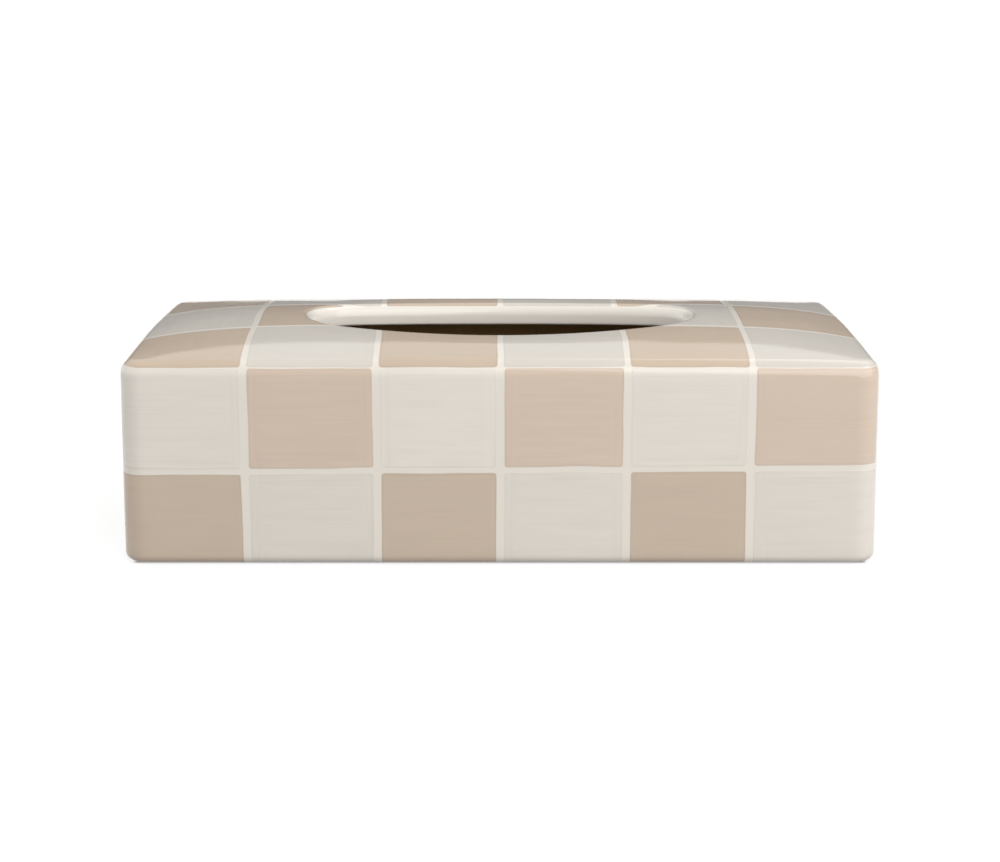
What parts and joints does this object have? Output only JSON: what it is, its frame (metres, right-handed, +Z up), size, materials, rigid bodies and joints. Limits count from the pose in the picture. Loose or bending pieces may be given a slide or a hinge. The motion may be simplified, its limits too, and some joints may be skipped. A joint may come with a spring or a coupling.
{
  "type": "tissue box cover",
  "caption": "Rectangular glazed ceramic cover that drops over a flat tissue carton, with a softly crowned top and a rolled oval slot the tissues are pulled through.",
  "frame": {"origin": "centre of the footprint, on the plane of the foot pads' lower faces", "axes": "+X along the length to the right seen from the front, +Y from the front to the back, +Z up"},
  "size_m": [0.26, 0.13, 0.0767],
  "materials": {
    "glazed_ceramic": "clear gloss glaze over hand-painted beige and cream checks",
    "foot_pad": "milky matte silicone"
  },
  "bodies": {
    "root": {"cover_shell": "glazed_ceramic", "foot_pad_front_left": "foot_pad", "foot_pad_front_right": "foot_pad", "foot_pad_back_left": "foot_pad", "foot_pad_back_right": "foot_pad"}
  },
  "joints": []
}
